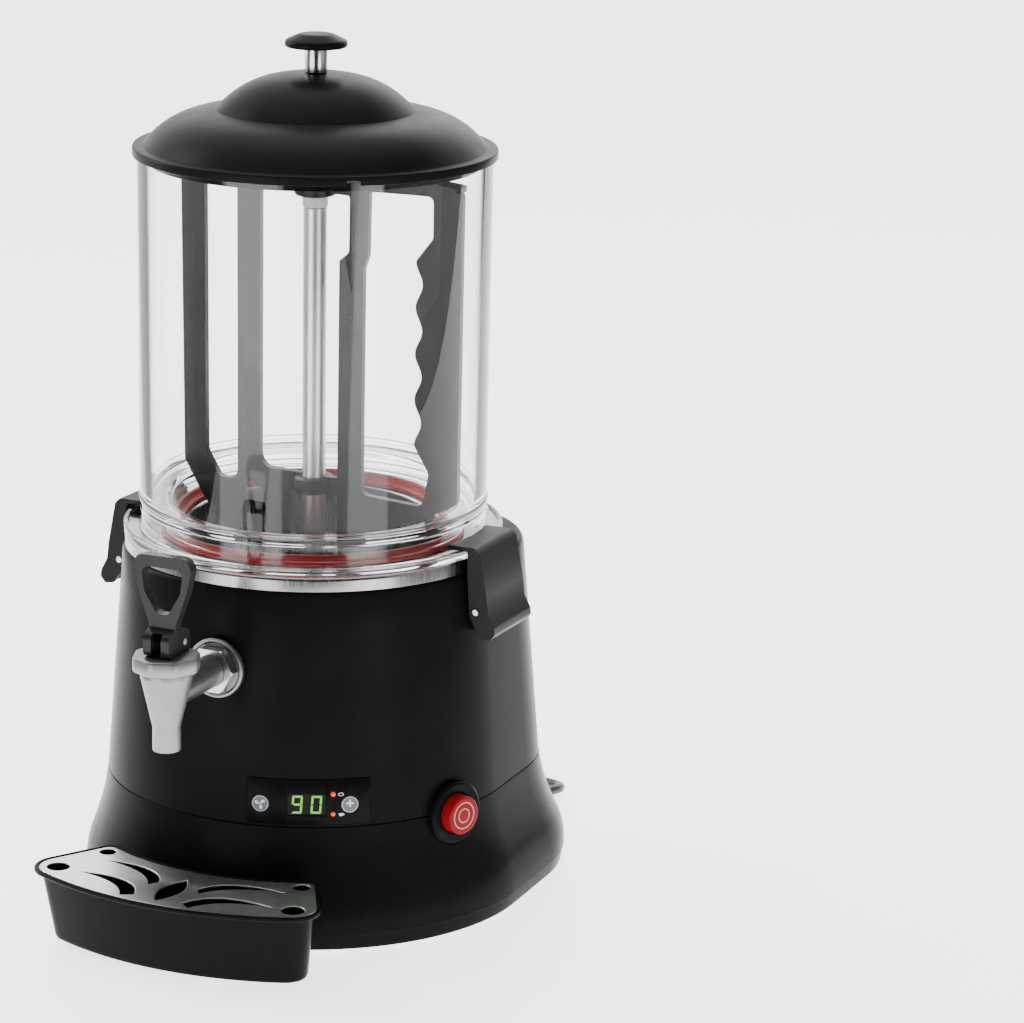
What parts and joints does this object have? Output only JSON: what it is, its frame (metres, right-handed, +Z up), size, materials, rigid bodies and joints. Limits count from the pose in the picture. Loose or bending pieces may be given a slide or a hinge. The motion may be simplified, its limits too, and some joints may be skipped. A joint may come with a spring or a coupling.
{
  "type": "hot chocolate dispenser",
  "caption": "Countertop hot chocolate dispenser: clear bowl with an agitator and a domed lid on a black heated base, with a lever tap and a drip tray.",
  "frame": {"origin": "centre of the footprint of the machine without its cord, on the surface it stands on", "axes": "+Z up, -Y towards the front with the tap and the drip tray, +X to the right seen from the front"},
  "size_m": [0.309, 0.5443, 0.5831],
  "materials": {
    "black_plastic": "satin black moulded plastic",
    "soft_black": "matt black moulded plastic",
    "lid_plastic": "dark satin moulded plastic",
    "agitator_plastic": "dark grey moulded plastic",
    "clear_plastic": "clear polycarbonate, polished",
    "red_silicone": "red food silicone",
    "steel": "polished stainless steel",
    "brushed_steel": "brushed stainless steel",
    "zinc_steel": "zinc plated steel",
    "grey_key": "silver grey satin",
    "panel_film": "gloss black film",
    "green_display": "green lit digits on black",
    "red_lens": "red translucent lens",
    "green_board": "circuit board laminate",
    "rubber": "black rubber",
    "white_bush": "white bearing plastic",
    "cord_rubber": "black cord jacket"
  },
  "bodies": {
    "base": {"base_plate": "zinc_steel", "base_skirt": "black_plastic", "bowl": "clear_plastic", "bowl_seal": "red_silicone", "circuit_board": "green_board", "column_bush": "white_bush", "column_tube": "steel", "control_panel": "panel_film", "cord_coil": "cord_rubber", "cord_gland": "cord_rubber", "display_module": "green_display", "foot_front_left": "rubber", "foot_front_right": "rubber", "foot_rear_left": "rubber", "foot_rear_right": "rubber", "gear_motor": "zinc_steel", "heater_element": "brushed_steel", "heating_pan": "brushed_steel", "latch_bracket_left": "black_plastic", "latch_bracket_right": "black_plastic", "latch_pin_left": "steel", "latch_pin_right": "steel", "led_lower": "red_lens", "led_upper": "red_lens", "mains_plug": "cord_rubber", "motor_bracket": "zinc_steel", "outlet_elbow": "rubber", "power_cord": "cord_rubber", "switch_bezel": "soft_black", "tap_body": "steel", "tap_bonnet_nut": "steel", "tap_flange": "steel", "tap_hex_nut": "steel", "tap_lock_nut": "steel", "tap_spring": "zinc_steel", "thermostat": "zinc_steel", "upper_housing": "black_plastic"},
    "lid": {"lid": "lid_plastic", "lid_knob_stem": "steel", "lid_knob": "lid_plastic", "lid_screw": "zinc_steel"},
    "agitator": {"agitator": "agitator_plastic", "drive_shaft": "steel"},
    "latch_left": {"latch_left": "black_plastic"},
    "latch_right": {"latch_right": "black_plastic"},
    "tap_stem": {"tap_stem": "steel", "tap_seat_cup": "red_silicone", "tap_pivot_pin": "steel"},
    "tap_handle": {"tap_handle": "black_plastic"},
    "switch_button": {"switch_button": "red_lens"},
    "key_left": {"key_left": "grey_key"},
    "key_right": {"key_right": "grey_key"},
    "drip_tray": {"drip_tray": "black_plastic"},
    "drip_grate": {"drip_grate": "brushed_steel"}
  },
  "joints": [
    {"name": "lid_lift", "type": "slide", "parent": "base", "child": "lid", "axis": [0, 0, 1], "range_m": [0, 0.06]},
    {"name": "agitator_spin", "type": "hinge", "parent": "base", "child": "agitator", "pos_m": [0, 0.02332, 0.3], "axis": [0, 0, 1], "continuous": true},
    {"name": "latch_right_swing", "type": "hinge", "parent": "base", "child": "latch_right", "pos_m": [0.135, 0.02332, 0.2147], "axis": [0, 1, 0], "range_deg": [0, 25]},
    {"name": "latch_left_swing", "type": "hinge", "parent": "base", "child": "latch_left", "pos_m": [-0.135, 0.02332, 0.2147], "axis": [0, -1, 0], "range_deg": [0, 25]},
    {"name": "tap_lever_tilt", "type": "hinge", "parent": "tap_stem", "child": "tap_handle", "pos_m": [0, -0.16868, 0.2203], "axis": [1, 0, 0], "range_deg": [0, 20], "stiffness_Nm_per_rad": 0.25, "springref_deg": -13.75},
    {"name": "tap_stem_lift", "type": "slide", "parent": "base", "child": "tap_stem", "axis": [0, 0, 1], "range_m": [0, 0.0058], "deforming": ["tap_spring"]},
    {"name": "switch_press", "type": "slide", "parent": "base", "child": "switch_button", "axis": [-0.9367, 0.3502, 0], "range_m": [0, 0.003], "stiffness_N_per_m": 500, "springref_m": -0.002},
    {"name": "key_left_press", "type": "slide", "parent": "base", "child": "key_left", "axis": [-0.2354, 0.9719, 0], "range_m": [0, 0.0006], "stiffness_N_per_m": 500, "springref_m": -0.0006},
    {"name": "key_right_press", "type": "slide", "parent": "base", "child": "key_right", "axis": [-0.6139, 0.7894, 0], "range_m": [0, 0.0006], "stiffness_N_per_m": 500, "springref_m": -0.0006},
    {"name": "tray_slide", "type": "slide", "parent": "base", "child": "drip_tray", "axis": [0, -1, 0], "range_m": [0, 0.06]},
    {"name": "grate_lift", "type": "slide", "parent": "drip_tray", "child": "drip_grate", "axis": [0, 0, 1], "range_m": [0, 0.025]}
  ],
  "couplings": [
    {"joint": "tap_stem_lift", "follows": "tap_lever_tilt", "m_per_rad": 0.0166}
  ]
}
